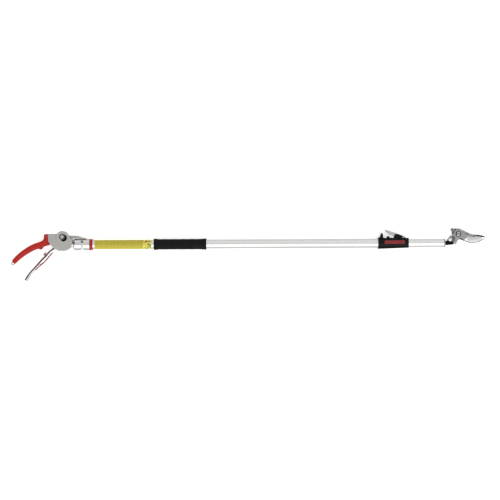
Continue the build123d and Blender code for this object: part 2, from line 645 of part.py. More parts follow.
INLAY = (386.0, 2.95)
INLAY_DEPTH = 1.0
CHANNEL_HALF = 8.0
CHANNEL_FLOOR = 12.7
WALL_HALF = 12.5
LEDGE_TOP, LEDGE_LOW = -2.6, -7.6      # sloping ledge under the inlay
LEDGE_DROP = 1.8
with BuildPart() as clamp_body:
    with BuildSketch(across(CLAMP_LEFT)):
        with Locations((-0.4, 0)):
            RectangleRounded(28.8, 2 * CLAMP_HALF, 6.0)
    extrude(amount=CLAMP_RIGHT - CLAMP_LEFT)
    with BuildSketch(flat(-WALL_HALF)):
        with BuildLine():
            Polyline((CLAMP_LEFT, 8.0), (CLAMP_LEFT, 15.3), (347.8, 15.7), (349.8, 22.4),
                     (352.3, 27.0), (354.4, 26.4), (355.6, 21.0), (356.2, 14.6), (366.0, 13.9),
                     (367.4, 17.4))
            ThreePointArc((367.4, 17.4), (369.9, 18.9), (372.4, 17.2))
            Polyline((372.4, 17.2), (373.4, 14.2), (376.6, 14.2), (378.3, 15.7), (380.2, 14.0),
                     (385.0, 13.7), (385.4, 19.3), (388.3, 24.2), (396.8, 23.5), (406.6, 19.7),
                     (415.8, 14.1), (420.8, 12.8), (CLAMP_RIGHT, 9.9), (CLAMP_RIGHT, 8.0),
                     (CLAMP_LEFT, 8.0))
        make_face()
    extrude(amount=2 * WALL_HALF)
    with BuildSketch(flat(-CLAMP_HALF - 1.0)):
        Polygon((CLAMP_LEFT - 1.0, -14.8), (CLAMP_RIGHT + 1.0, -12.0),
                (CLAMP_RIGHT + 1.0, -20.0), (CLAMP_LEFT - 1.0, -20.0), align=None)
    extrude(amount=2 * CLAMP_HALF + 2.0, mode=Mode.SUBTRACT)
    with BuildSketch(across(CLAMP_LEFT)):
        Polygon((LEDGE_TOP, CLAMP_HALF), (LEDGE_LOW, CLAMP_HALF - LEDGE_DROP),
                (-POLE_Z, CLAMP_HALF - LEDGE_DROP), (-POLE_Z, CLAMP_HALF + 1.0),
                (LEDGE_TOP, CLAMP_HALF + 1.0), align=None)
    extrude(amount=CLAMP_RIGHT - CLAMP_LEFT, mode=Mode.SUBTRACT)
    with BuildSketch(flat(-CHANNEL_HALF)):
        Polygon((356.4, CHANNEL_FLOOR), (430.0, CHANNEL_FLOOR), (430.0, 30.0), (356.4, 30.0),
                align=None)
    extrude(amount=2 * CHANNEL_HALF, mode=Mode.SUBTRACT)
    with BuildSketch(across(CLAMP_LEFT - 1.0)):
        Circle(OUTER_R)
    extrude(amount=CLAMP_RIGHT - CLAMP_LEFT - 0.5, mode=Mode.SUBTRACT)
    with BuildSketch(across(CLAMP_RIGHT - 3.0)):
        Circle(INNER_R + FREE_GAP)
    extrude(amount=5.0, mode=Mode.SUBTRACT)
    with BuildSketch(SHOE_PLANE):
        Rectangle(*SHOE_WINDOW)
    extrude(amount=CLAMP_HALF, mode=Mode.SUBTRACT)
    with BuildSketch(flat(-WALL_HALF - 1.0)):
        with Locations(CLAMP_PIVOT):
            Circle(CLAMP_PIN_R)
    extrude(amount=2 * WALL_HALF + 2.0, mode=Mode.SUBTRACT)
    with BuildSketch(flat(CLAMP_HALF)):
        with Locations(INLAY):
            RectangleRounded(54.2, 9.8, 3.2)
    extrude(amount=-INLAY_DEPTH, mode=Mode.SUBTRACT)
save(clamp_body.part, "clamp_body")

with BuildPart() as clamp_inlay:
    with BuildSketch(flat(CLAMP_HALF - INLAY_DEPTH)):
        with Locations(INLAY):
            RectangleRounded(54.0, 9.6, 3.1)
    extrude(amount=INLAY_DEPTH + 0.5)
    fillet(clamp_inlay.edges().group_by(Axis.Z)[-1], 0.7)
save(clamp_inlay.part, "clamp_inlay")

with BuildPart() as clamp_lever:
    with BuildSketch(flat(-7.4)):
        with BuildLine():
            Polyline((361.6, 34.2), (362.9, 35.9), (388.3, 27.2), (406.3, 20.3), (409.5, 17.5),
                     (408.5, 13.2), (403.0, 14.0), (396.0, 16.4), (385.4, 19.4), (380.4, 20.2),
                     (374.1, 22.6), (366.5, 27.8), (363.2, 29.4), (361.6, 34.2))
        make_face()
        with Locations(CLAMP_PIVOT):
            Circle(2.75)
            Circle(CLAMP_PIN_R + RUN_GAP, mode=Mode.SUBTRACT)
    extrude(amount=14.8)
save(clamp_lever.part, "clamp_lever")

with BuildPart() as clamp_pin:
    with BuildSketch(flat(-WALL_HALF)):
        with Locations(CLAMP_PIVOT):
            Circle(CLAMP_PIN_R)
    extrude(amount=2 * WALL_HALF)
save(clamp_pin.part, "clamp_pin")

# Brake shoe, hollowed underneath to the inner tube's radius
with BuildPart() as clamp_shoe:
    with BuildSketch(SHOE_PLANE.offset(6.0)):
        Rectangle(SHOE_WINDOW[0] - 0.8, SHOE_WINDOW[1] - 0.8)
    extrude(amount=5.9)
    with BuildSketch(across(CLAMP_PIVOT[0] - 20.0)):
        Circle(INNER_R + 0.35)
    extrude(amount=40.0, mode=Mode.SUBTRACT)
save(clamp_shoe.part, "clamp_shoe")

# ---------------------------------------------------------------- head

with BuildPart() as head_body:
    with BuildSketch(flat(PLATE_BOTTOM)):
        with BuildLine():
            Polyline((536.5, -4.0), (538.3, 8.6), (539.1, 19.9), (538.6, 29.7), (535.4, 37.1),
                     (535.9, 38.7), (559.4, 37.8), (566.5, 33.6), (568.5, 24.0), (566.0, 14.5),
                     (555.7, 8.5), (549.0, 2.0), (545.0, -4.0), (536.5, -4.0))
        make_face()
        with Locations(HEAD):
            Circle(BOLT_R, mode=Mode.SUBTRACT)
    extrude(amount=HOOK_BOTTOM - PLATE_BOTTOM)
    chamfer(head_body.edges().group_by(Axis.Z)[-1].filter_by(GeomType.LINE), 0.6)
    with BuildSketch(flat(HOOK_BOTTOM)):
        with Locations(*SAW_HOLES):
            Circle(SAW_HOLE_R)
    extrude(amount=-SAW_HOLE_DEPTH, mode=Mode.SUBTRACT)
    with BuildSketch(flat(HOOK_BOTTOM)):
        Polygon((541.2, 9.5), (542.9, 10.6), (543.1, 19.9), (542.5, 30.6), (540.9, 30.6),
                (541.6, 19.9), align=None)
    extrude(amount=-2.2, mode=Mode.SUBTRACT)
    with BuildSketch(flat(PLATE_BOTTOM)):
        with Locations((538.7, 0)):
            Rectangle(4.4, 6.0)
    extrude(amount=-PLATE_BOTTOM)
    with BuildSketch(across(508.0)):
        Circle(3.4)
    extrude(amount=30.0)
    with BuildSketch(across(500.0)):
        Circle(1.5)
    extrude(amount=60.0, mode=Mode.SUBTRACT)
    with BuildSketch(flat(HOOK_BOTTOM + 4.0)):
        with Locations(*from_head(RIVETS)):
            Circle(PIN_R)
    extrude(amount=-20.0, mode=Mode.SUBTRACT)
save(head_body.part, "head_body")

with BuildPart() as neck:
    with BuildSketch(flat()):
        Polygon((506.0, 1.6), (506.0, 4.5), (520.1, 4.5), (520.1, 5.65), (521.4, 5.9),
                (539.5, 4.4), (540.7, 3.9), (540.7, 1.6), align=None)
    revolve(axis=POLE_AXIS)
    with BuildSketch(flat(-LUG_HALF)):
        Polygon((523.4, 4.6), (530.6, 4.4), (529.4, 7.8), (524.6, 7.8), align=None)
        with Locations(SPRING_LUG):
            Circle(EYE_R)
            Circle(EYE_HOLE_R, mode=Mode.SUBTRACT)
    extrude(amount=2 * LUG_HALF)
    add(head_body.part, mode=Mode.SUBTRACT)
save(neck.part, "neck")

BELLY = [(2.6, -13.7), (8.7, -16.1), (14.8, -18.5), (22.4, -21.2), (29.8, -23.4), (37.5, -24.2),
         (48.8, -22.7), (57.0, -20.1), (66.0, -15.6), (70.2, -12.4)]
HOOK_EDGE = [(70.4, -10.9), (60.0, -12.6), (48.0, -15.6), (36.0, -16.6), (24.0, -13.8),
             (12.0, -7.0)]
with BuildPart() as hook_blade:
    with BuildSketch(flat(HOOK_BOTTOM)):
        with BuildLine():
            Spline(*from_head(BELLY))
            Line(from_head(BELLY)[-1], from_head(HOOK_EDGE)[0])
            Spline(*from_head(HOOK_EDGE))
            Line(from_head(HOOK_EDGE)[-1], from_head([(0.0, -4.0)])[0])
            Line(from_head([(0.0, -4.0)])[0], from_head(BELLY)[0])
        make_face()
        with Locations(HEAD):
            Circle(12.4)
            Circle(BOLT_R, mode=Mode.SUBTRACT)
        with Locations(*from_head(RIVETS)):
            Circle(PIN_R, mode=Mode.SUBTRACT)
    extrude(amount=HOOK_TOP - HOOK_BOTTOM)
save(hook_blade.part, "hook_blade")

with BuildPart() as hook_rivets:
    with BuildSketch(flat(PLATE_BOTTOM)):
        with Locations(*from_head(RIVETS)):
            Circle(PIN_R)
    extrude(amount=HOOK_TOP - PLATE_BOTTOM)
    with BuildSketch(flat(PLATE_BOTTOM)):
        with Locations(*from_head(RIVETS)):
            Circle(2.5)
    extrude(amount=-1.0)
    chamfer(hook_rivets.edges().group_by(Axis.Z)[0], 0.5)
save(hook_rivets.part, "hook_rivets")

TAIL_PIN = (TAIL_R * cos(radians(TAIL_ANGLE)), TAIL_R * sin(radians(TAIL_ANGLE)))
SPRING_EAR = (-15.4, -2.4)
BLADE_BACK = [(10.3, 10.8), (14.8, 8.6), (22.4, 4.6), (29.8, 1.2), (34.3, -0.7), (44.9, -2.1),
              (59.9, -4.0), (67.6, -5.9), (70.4, -9.6)]
BLADE_EDGE = [(70.4, -9.6), (65.0, -13.9), (56.3, -18.2), (48.4, -20.8), (37.6, -22.3),
              (30.2, -21.5), (22.9, -19.3), (15.2, -16.5), (9.5, -12.4)]
HOLD_SCREWS = [(22.4, 0.4), (41.0, -5.2)]
with BuildPart() as cutting_blade:
    with BuildSketch(flat(-BLADE_HALF)):
        with BuildLine():
            Spline(*from_head(BLADE_BACK))
            Spline(*from_head(BLADE_EDGE))
            Polyline(*from_head([BLADE_EDGE[-1], (0.0, -6.0), (0.0, 6.0), BLADE_BACK[0]]))
        make_face()
        Polygon(*from_head([(-8.5, -8.5), (TAIL_PIN[0] - 2.8, TAIL_PIN[1] + 1.0),
                            (TAIL_PIN[0] + 2.9, TAIL_PIN[1] - 0.8), (-2.6, -18.5),
                            (1.5, -12.0)]), align=None)
        Polygon(*from_head([(-9.5, 6.0), SPRING_EAR, (-15.6, -4.4), (-9.0, -7.5)]), align=None)
        with Locations(HEAD):
            Circle(12.0)
            Circle(BOLT_R + RUN_GAP, mode=Mode.SUBTRACT)
        with Locations(*from_head([TAIL_PIN])):
            Circle(3.0)
        with Locations(*from_head([SPRING_EAR])):
            Circle(EYE_R)
            Circle(EYE_HOLE_R, mode=Mode.SUBTRACT)
        with Locations(*from_head([TAIL_PIN])):
            Circle(TAIL_PIN_R, mode=Mode.SUBTRACT)
        with Locations(*from_head(HOLD_SCREWS)):
            Circle(HOLD_SCREW_R, mode=Mode.SUBTRACT)
    extrude(amount=2 * BLADE_HALF)
save(cutting_blade.part, "cutting_blade")

HOLD_LOW = [(12.4, 2.4), (20.4, -2.2), (30.0, -4.8), (38.0, -6.4), (43.6, -7.2)]
with BuildPart() as hold_plate:
    with BuildSketch(flat(BLADE_HALF)):
        with BuildLine():
            Spline(*from_head(BLADE_BACK[0:6]))
            Line(from_head(BLADE_BACK)[5], from_head(HOLD_LOW)[-1])
            Spline(*from_head(reversed(HOLD_LOW)))
            Line(from_head(HOLD_LOW)[0], from_head(BLADE_BACK)[0])
        make_face()
        with Locations(*from_head(HOLD_SCREWS)):
            Circle(HOLD_SCREW_R, mode=Mode.SUBTRACT)
        with Locations(HEAD):
            Circle(12.6, mode=Mode.SUBTRACT)
    extrude(amount=HOLD_PLATE)
save(hold_plate.part, "hold_plate")

with BuildPart() as hold_strip:
    with BuildSketch(flat(BLADE_HALF)):
        with BuildLine():
            Spline(*from_head([(45.6, -2.3), (59.9, -4.1), (67.4, -6.2)]))
            Spline(*from_head([(67.4, -6.2), (68.4, -7.9), (66.0, -8.8)]))
            Spline(*from_head([(66.0, -8.8), (57.0, -7.8), (45.6, -5.0)]))
            Line(*from_head([(45.6, -5.0), (45.6, -2.3)]))
        make_face()
    extrude(amount=0.9)
save(hold_strip.part, "hold_strip")

with BuildPart() as hold_screws:
    with BuildSketch(flat(-BLADE_HALF)):
        with Locations(*from_head(HOLD_SCREWS)):
            Circle(HOLD_SCREW_R)
    extrude(amount=2 * BLADE_HALF + HOLD_PLATE)
    with BuildSketch(flat(BLADE_HALF + HOLD_PLATE)):
        with Locations(*from_head(HOLD_SCREWS)):
            Circle(1.8)
    extrude(amount=0.9)
    with BuildSketch(flat(BLADE_HALF + HOLD_PLATE + 0.9)):
        with Locations(*from_head(HOLD_SCREWS)):
            Rectangle(2.6, 0.5)
    extrude(amount=-0.5, mode=Mode.SUBTRACT)
save(hold_screws.part, "hold_screws")

with BuildPart() as tail_pin:
    with BuildSketch(flat(-3.6)):
        with Locations(*from_head([TAIL_PIN])):
            Circle(TAIL_PIN_R)
    extrude(amount=7.2)
save(tail_pin.part, "tail_pin")

with BuildPart() as pivot_bolt:
    with BuildSketch(flat(BLADE_HALF + FREE_GAP)):
        with Locations(HEAD):
            Circle(FLANGE_R)
    extrude(amount=1.3)
    chamfer(pivot_bolt.edges().group_by(Axis.Z)[-1], 0.5)
    with BuildSketch(flat(BLADE_HALF + FREE_GAP)):
        with Locations(HEAD):
            Circle(BOLT_HEAD_R)
    extrude(amount=BOLT_HEAD)
    fillet(pivot_bolt.edges().group_by(Axis.Z)[-1], 1.1)
    with BuildSketch(flat(BLADE_HALF + FREE_GAP + BOLT_HEAD)):
        with Locations(HEAD):
            Rectangle(2 * BOLT_HEAD_R, 1.8)
    extrude(amount=-1.4, mode=Mode.SUBTRACT)
    with BuildSketch(flat(BLADE_HALF + FREE_GAP)):
        with Locations(HEAD):
            Circle(BOLT_R)
    extrude(amount=-(BLADE_HALF + FREE_GAP - PLATE_BOTTOM + 4.0))
save(pivot_bolt.part, "pivot_bolt")

with BuildPart() as pivot_nut:
    with BuildSketch(flat(PLATE_BOTTOM)):
        with Locations(HEAD):
            RegularPolygon(6.0, 6)
            Circle(BOLT_R, mode=Mode.SUBTRACT)
    extrude(amount=-3.6)
save(pivot_nut.part, "pivot_nut")

# Clevis: its holes are slots, because the tail swings while the cord runs straight
CLEVIS_X = HEAD[0] + TAIL_PIN[0]
with BuildPart() as cord_clevis:
    with BuildSketch(flat(-3.2)):
        with Locations((CLEVIS_X - 1.3, 0)):
            RectangleRounded(8.4, 6.4, 1.6)
    extrude(amount=6.4)
    with BuildSketch(flat(-BLADE_HALF - FREE_GAP)):
        with Locations((CLEVIS_X + 0.45, 0)):
            Rectangle(10.5, 9.0)
    extrude(amount=2 * (BLADE_HALF + FREE_GAP), mode=Mode.SUBTRACT)
    with BuildSketch(flat(-4.0)):
        with Locations((CLEVIS_X, 0.15)):
            SlotOverall(4.3, 3.0, rotation=90)
    extrude(amount=8.0, mode=Mode.SUBTRACT)
save(cord_clevis.part, "cord_clevis")

CORD_LEFT = -478.0
with BuildPart() as drive_cord:
    with BuildSketch(across(CORD_LEFT)):
        Circle(CORD_R)
    extrude(amount=CLEVIS_X - 5.5 - CORD_LEFT)
save(drive_cord.part, "drive_cord")

# Return spring from the neck to the blade's ear
SPRING_FOOT = Vector(SPRING_LUG[0], SPRING_LUG[1] + POLE_Y, POLE_Z)
SPRING_TIP = Vector(HEAD[0] + SPRING_EAR[0], HEAD[1] + SPRING_EAR[1] + POLE_Y, POLE_Z)
SPRING_R = 2.4
SPRING_ENDS = 3.4        # length left free for the hook at each end
spring_way = (SPRING_TIP - SPRING_FOOT).normalized()
with BuildPart() as blade_spring:
    with BuildLine() as coil:
        Helix(pitch=1.45, height=(SPRING_TIP - SPRING_FOOT).length - 2 * SPRING_ENDS,
              radius=SPRING_R, center=SPRING_FOOT + spring_way * SPRING_ENDS,
              direction=spring_way)
    with BuildSketch(Plane(origin=coil.line @ 0, z_dir=coil.line % 0)):
        Circle(0.5)
    sweep(is_frenet=True)
save(blade_spring.part, "blade_spring")
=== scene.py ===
from math import cos, pi, radians, sin, tau

import bmesh
import bpy
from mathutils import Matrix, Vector, kdtree
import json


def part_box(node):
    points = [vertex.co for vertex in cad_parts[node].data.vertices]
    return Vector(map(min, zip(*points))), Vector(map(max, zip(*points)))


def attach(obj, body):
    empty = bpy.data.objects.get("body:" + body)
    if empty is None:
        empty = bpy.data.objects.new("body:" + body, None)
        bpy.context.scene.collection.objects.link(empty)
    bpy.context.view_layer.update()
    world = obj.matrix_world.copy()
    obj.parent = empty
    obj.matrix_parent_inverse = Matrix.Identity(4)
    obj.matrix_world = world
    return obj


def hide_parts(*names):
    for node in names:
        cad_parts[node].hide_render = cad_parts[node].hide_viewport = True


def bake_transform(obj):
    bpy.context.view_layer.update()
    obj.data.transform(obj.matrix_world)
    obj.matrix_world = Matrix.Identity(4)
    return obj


# Looks of the telescopic long-reach pruner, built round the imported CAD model.
# Metres throughout. The pole lies along X, with the handle at -X and the blades at +X.

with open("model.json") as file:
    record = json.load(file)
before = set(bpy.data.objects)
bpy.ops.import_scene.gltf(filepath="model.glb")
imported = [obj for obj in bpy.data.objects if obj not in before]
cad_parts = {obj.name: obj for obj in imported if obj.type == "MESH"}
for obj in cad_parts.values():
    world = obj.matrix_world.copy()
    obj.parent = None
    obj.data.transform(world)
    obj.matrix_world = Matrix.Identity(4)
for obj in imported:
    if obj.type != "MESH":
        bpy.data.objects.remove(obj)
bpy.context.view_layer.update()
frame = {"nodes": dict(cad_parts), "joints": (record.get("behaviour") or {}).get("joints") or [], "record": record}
NODES = frame["nodes"]
JOINTS = {joint["name"]: joint for joint in frame["joints"]}
SLOTS = {part["node"]: part["material_slot"] for part in frame["record"]["subparts"]}
COLOURS = {part["slot"]: tuple(part["base_color"][:3]) for part in frame["record"]["materials"]}
SCENE = bpy.context.scene
MM = 0.001
MICRON = 0.000001


def middle(node):
    """Centre of a CAD node's box."""
    low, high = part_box(node)
    return (Vector(low) + Vector(high)) / 2


# The pole's axis, the axle of the lever and the pivot of the blades
AXIS_Y, AXIS_Z = middle("outer_tube").y, middle("outer_tube").z
BOSS = Vector(JOINTS["lever_pull"]["pos_m"])
HEAD = Vector(JOINTS["blade_turn"]["pos_m"])


# ---------------------------------------------------------------- shader shorthands

class Shader:
    """A Principled material with a few shorthands for its node tree.
    Scales are in features per metre and depths in metres."""

    def __init__(self, name, colour, roughness, metallic=0.0, **inputs):
        self.material = bpy.data.materials.new(name)
        self.material.use_nodes = True
        self.tree = self.material.node_tree
        self.bsdf = self.tree.nodes["Principled BSDF"]
        self.bsdf.inputs["Base Color"].default_value = (*colour, 1)
        self.bsdf.inputs["Roughness"].default_value = roughness
        self.bsdf.inputs["Metallic"].default_value = metallic
        for key, value in inputs.items():
            self.bsdf.inputs[key.replace("_", " ")].default_value = value
        self.coords = self.node("ShaderNodeTexCoord").outputs["Object"]
        self.last_normal = None

    def node(self, kind, **values):
        """New node; values name its own settings or its inputs' numbers."""
        made = self.tree.nodes.new(kind)
        for key, value in values.items():
            if key in made.inputs:
                made.inputs[key].default_value = value
            else:
                setattr(made, key, value)
        return made

    def link(self, start, end):
        self.tree.links.new(start, end)

    def feed(self, socket, value):
        """Give a socket another node's output, a colour or a number."""
        if isinstance(value, bpy.types.NodeSocket):
            self.link(value, socket)
        else:
            socket.default_value = (*value, 1) if hasattr(value, "__len__") else value

    def stretched(self, scale):
        """The object's own coordinates, scaled by a number or a triple of numbers."""
        mapping = self.node("ShaderNodeMapping")
        mapping.inputs["Scale"].default_value = scale if hasattr(scale, "__len__") else (scale,) * 3
        self.link(self.coords, mapping.inputs["Vector"])
        return mapping.outputs["Vector"]

    def noise(self, scale, detail=3.0):
        """Cloudy noise from 0 to 1."""
        made = self.node("ShaderNodeTexNoise", Detail=detail, Roughness=0.55, Scale=1.0)
        self.link(self.stretched(scale), made.inputs["Vector"])
        return made.outputs["Fac"]

    def cells(self, scale):
        """Distance to the nearest of some scattered points."""
        made = self.node("ShaderNodeTexVoronoi", Scale=1.0)
        self.link(self.stretched(scale), made.inputs["Vector"])
        return made.outputs["Distance"]

    def blocks(self, scale):
        """Even square blocks, each with its own value from 0 to 1."""
        made = self.node("ShaderNodeTexVoronoi", Randomness=0.0, Scale=1.0)
        self.link(self.stretched(scale), made.inputs["Vector"])
        split = self.node("ShaderNodeSeparateColor")
        self.link(made.outputs["Color"], split.inputs[0])
        return split.outputs[0]

    def ramp(self, factor, *stops):
        """Colour ramp; each stop is (position, grey) or (position, (r, g, b))."""
        made = self.node("ShaderNodeValToRGB")
        elements = made.color_ramp.elements
        while len(elements) < len(stops):
            elements.new(0.5)
        for element, (position, value) in zip(elements, stops):
            element.position = position
            element.color = (*value, 1) if hasattr(value, "__len__") else (value, value, value, 1)
        self.link(factor, made.inputs["Fac"])
        return made.outputs["Color"]

    def mix(self, factor, first, second):
        """Colour between first and second; each is a socket or a colour."""
        made = self.node("ShaderNodeMix", data_type="RGBA")
        self.feed(made.inputs[0], factor)
        self.feed(made.inputs[6], first)
        self.feed(made.inputs[7], second)
        return made.outputs[2]

    def combine(self, operation, first, second):
        """Math node of two sockets or numbers."""
        made = self.node("ShaderNodeMath", operation=operation)
        self.feed(made.inputs[0], first)
        self.feed(made.inputs[1], second)
        return made.outputs["Value"]

    def axis(self, index):
        """One of the object's own coordinates, as a number in metres."""
        split = self.node("ShaderNodeSeparateXYZ")
        self.link(self.coords, split.inputs[0])
        return split.outputs[index]

    def colour(self, socket):
        self.link(socket, self.bsdf.inputs["Base Color"])

    def roughness(self, factor, low, high):
        """Roughness from low to high as factor goes from 0 to 1."""
        made = self.node("ShaderNodeMapRange")
        made.inputs["To Min"].default_value = low
        made.inputs["To Max"].default_value = high
        self.link(factor, made.inputs["Value"])
        self.link(made.outputs["Result"], self.bsdf.inputs["Roughness"])

    def bump(self, height, depth, strength=1.0):
        """Bump of a real depth; later calls add to earlier ones."""
        made = self.node("ShaderNodeBump", Strength=strength, Distance=depth)
        self.link(height, made.inputs["Height"])
        if self.last_normal is not None:
            self.link(self.last_normal, made.inputs["Normal"])
        self.last_normal = made.outputs["Normal"]
        self.link(self.last_normal, self.bsdf.inputs["Normal"])


def tinted(colour, factor):
    """The colour, lighter or darker by a factor."""
    return tuple(min(1.0, channel * factor) for channel in colour)


def worn(shader, colour, spread, scale):
    """Slow, slight variation of a colour over the surface."""
    shader.colour(shader.mix(shader.noise(scale, detail=4.0), tinted(colour, 1 - spread),
                             tinted(colour, 1 + spread)))


# ---------------------------------------------------------------- finishes

def cast_metal(name, colour, roughness, metallic, grain=9000.0):
    """Satin die casting: fine orange peel, soft mottling and faint rub marks."""
    shader = Shader(name, colour, roughness, metallic)
    worn(shader, colour, spread=0.07, scale=45.0)
    shader.roughness(shader.noise(140.0, detail=5.0), roughness - 0.08, roughness + 0.12)
    shader.bump(shader.noise(grain / 9), depth=60 * MICRON, strength=0.5)
    shader.bump(shader.noise(grain, detail=2.0), depth=20 * MICRON, strength=0.35)
    return shader.material


def drawn_tube(name, colour):
    """Drawn, clear-anodised aluminium: hairlines along the pole and faint handling marks."""
    shader = Shader(name, colour, 0.26, 1.0)
    hairlines = shader.noise((12.0, 5200.0, 5200.0))
    shader.colour(shader.mix(hairlines, tinted(colour, 0.94), tinted(colour, 1.04)))
    shader.roughness(shader.noise((30.0, 900.0, 900.0), detail=4.0), 0.20, 0.36)
    shader.bump(hairlines, depth=12 * MICRON, strength=0.5)
    return shader.material


def brushed(name, colour, roughness, scale, metallic=1.0):
    """Ground or drawn steel with fine lines across one of its own axes."""
    shader = Shader(name, colour, roughness, metallic)
    lines = shader.noise(scale, detail=4.0)
    shader.colour(shader.mix(lines, tinted(colour, 0.86), tinted(colour, 1.10)))
    shader.roughness(shader.noise(260.0, detail=4.0), roughness - 0.07, roughness + 0.10)
    shader.bump(lines, depth=12 * MICRON, strength=0.5)
    return shader.material


def chrome(name, colour, roughness):
    """Bright plating with faint smears and a slight sheet-metal ripple."""
    shader = Shader(name, colour, roughness, 1.0)
    worn(shader, colour, spread=0.05, scale=90.0)
    shader.roughness(shader.noise(220.0, detail=5.0), roughness - 0.03, roughness + 0.12)
    shader.bump(shader.noise(70.0, detail=2.0), depth=40 * MICRON, strength=0.35)
    return shader.material


def moulded(name, colour, roughness, grain=3200.0, depth=40 * MICRON, spread=0.10, gloss=0.5):
    """Moulded plastic with a spark-eroded texture."""
    shader = Shader(name, colour, roughness, Specular_IOR_Level=gloss)
    worn(shader, colour, spread, scale=80.0)
    shader.roughness(shader.noise(500.0, detail=4.0), roughness - 0.07, roughness + 0.10)
    shader.bump(shader.noise(grain), depth, strength=0.5)
    return shader.material


def dipped_vinyl(name, colour):
    """Soft dipped vinyl: nearly smooth, with slow ripples."""
    shader = Shader(name, colour, 0.36, Specular_IOR_Level=0.22)
    worn(shader, colour, spread=0.14, scale=55.0)
    shader.roughness(shader.noise(240.0, detail=5.0), 0.28, 0.46)
    shader.bump(shader.noise(95.0, detail=2.0), depth=180 * MICRON, strength=0.5)
    shader.bump(shader.noise(5200.0, detail=2.0), depth=20 * MICRON, strength=0.4)
    return shader.material


def foam(name, colour):
    """Closed-cell foam sleeve: pinhole cells, a skin and rubbed patches."""
    shader = Shader(name, colour, 0.9, Specular_IOR_Level=0.05)
    pits = shader.ramp(shader.cells(1500.0), (0.05, 0.0), (0.45, 1.0))
    patches = shader.noise(70.0, detail=5.0)
    shader.colour(shader.mix(patches, tinted(colour, 0.65), tinted(colour, 1.25)))
    shader.roughness(shader.noise(300.0, detail=4.0), 0.72, 0.95)
    shader.bump(pits, depth=220 * MICRON, strength=0.6)
    shader.bump(shader.noise(420.0, detail=4.0), depth=300 * MICRON, strength=0.4)
    return shader.material


def label_film(name, colour):
    """Olive-yellow film band: faint printed dashes, and an end panel of plain coloured blocks."""
    panel_length = 22.5 * MM
    dash_gap, dash_width = 4.5 * MM, 0.6 * MM
    row_gap, row_space = 3.4 * MM, 1.2 * MM
    yellow, gold, cream = (0.78, 0.66, 0.05), (0.80, 0.72, 0.10), (0.86, 0.80, 0.40)
    dark, rust, green = (0.10, 0.09, 0.03), (0.62, 0.16, 0.06), (0.16, 0.34, 0.08)

    shader = Shader(name, colour, 0.34, Specular_IOR_Level=0.25)
    along = shader.axis(0)
    mottled = shader.mix(shader.noise((120.0, 260.0, 260.0), detail=4.0), tinted(colour, 0.95),
                         tinted(colour, 1.45))
    # One metre further on, every place along the band is positive
    from_dash = shader.combine("PINGPONG", shader.combine("ADD", along, 1.0), dash_gap)
    from_row = shader.combine("PINGPONG", shader.axis(1), row_gap)
    dashes = shader.combine("MULTIPLY", shader.combine("LESS_THAN", from_dash, dash_width),
                            shader.combine("GREATER_THAN", from_row, row_space))
    band = shader.mix(shader.combine("MULTIPLY", dashes, 0.45), mottled, tinted(colour, 0.55))
    end_panel = shader.ramp(shader.blocks(310.0), (0.0, yellow), (0.46, dark), (0.60, gold),
                            (0.74, rust), (0.84, cream), (0.94, green))
    end_panel.node.color_ramp.interpolation = "CONSTANT"
    panel_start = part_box("label_band")[1].x - panel_length
    in_panel = shader.combine("GREATER_THAN", along, panel_start)
    shader.colour(shader.mix(in_panel, band, end_panel))
    shader.roughness(shader.noise(350.0, detail=4.0), 0.25, 0.45)
    shader.bump(shader.noise(900.0, detail=2.0), depth=20 * MICRON, strength=0.4)
    return shader.material


def braid(name, colour):
    """Braided cord."""
    strands = 2600.0
    shader = Shader(name, colour, 0.7)
    shader.colour(shader.mix(shader.cells(strands), tinted(colour, 0.6), colour))
    shader.bump(shader.cells(strands), depth=200 * MICRON, strength=0.8)
    return shader.material


